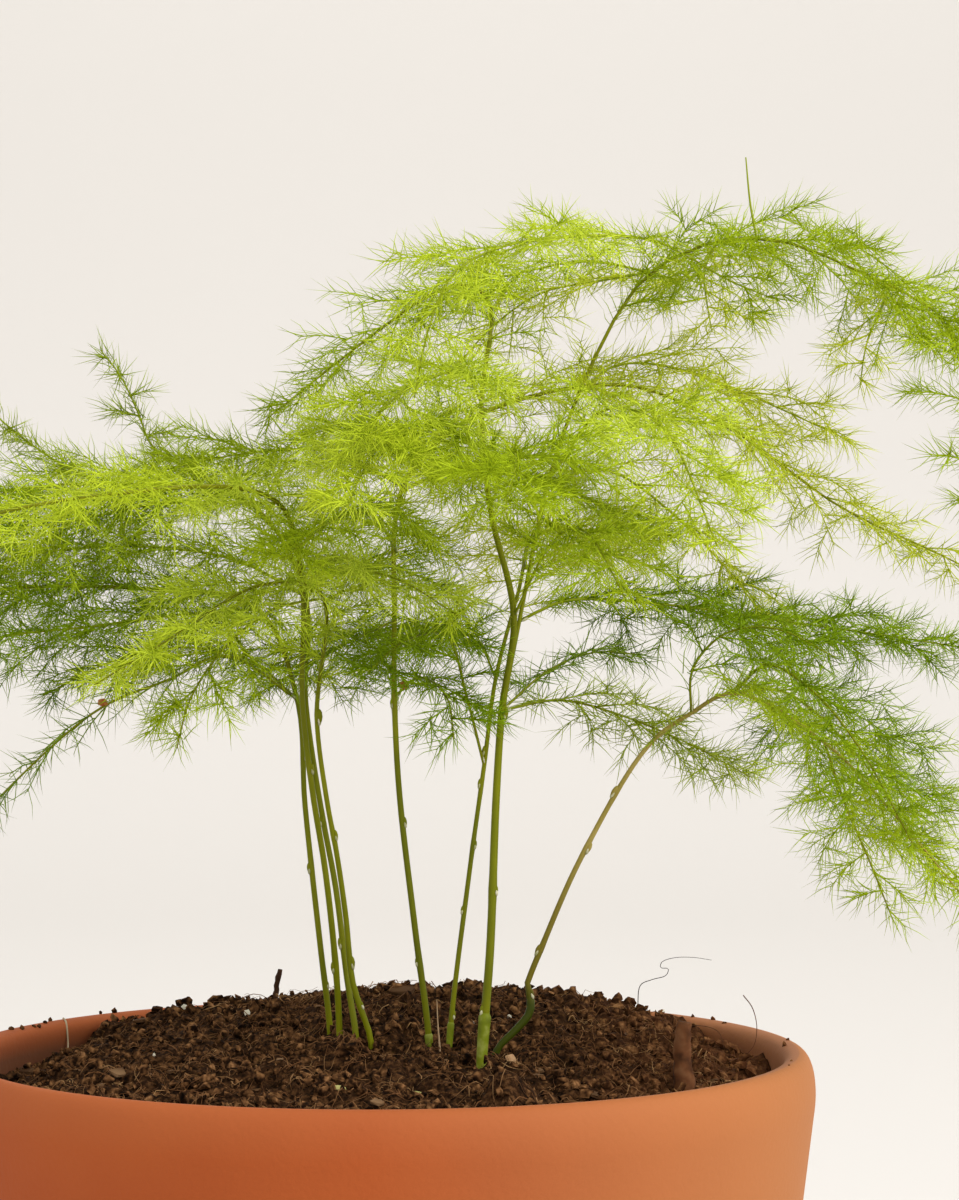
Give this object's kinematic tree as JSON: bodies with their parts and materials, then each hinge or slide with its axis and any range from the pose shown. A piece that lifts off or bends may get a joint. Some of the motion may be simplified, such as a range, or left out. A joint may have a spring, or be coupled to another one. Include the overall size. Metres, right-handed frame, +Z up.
{
  "type": "potted asparagus fern",
  "caption": "Lace fern with wiry arching stems and level plumes of thread-like needles, growing in a round terracotta pot filled with dark potting soil.",
  "frame": {"origin": "centre of the pot's underside, on the surface that the pot stands on", "axes": "+Z up, the front of the plant faces -Y, +X to the right seen from the front"},
  "size_m": [0.2218, 0.1648, 0.2835],
  "materials": {
    "terracotta": "matt, unglazed",
    "potting_soil": "rough, crumbly",
    "fern_green": "satin, living green",
    "dry_stem": "dry, matt"
  },
  "bodies": {
    "root": {"pot": "terracotta", "soil": "potting_soil", "leafy_stem_1": "fern_green", "leafy_stem_2": "fern_green", "leafy_stem_3": "fern_green", "leafy_stem_4": "fern_green", "leafy_stem_5": "fern_green", "leafy_stem_6": "fern_green", "leafy_stem_7": "fern_green", "leafy_stem_8": "fern_green", "dead_twig": "dry_stem", "dead_stub": "dry_stem"}
  },
  "joints": []
}
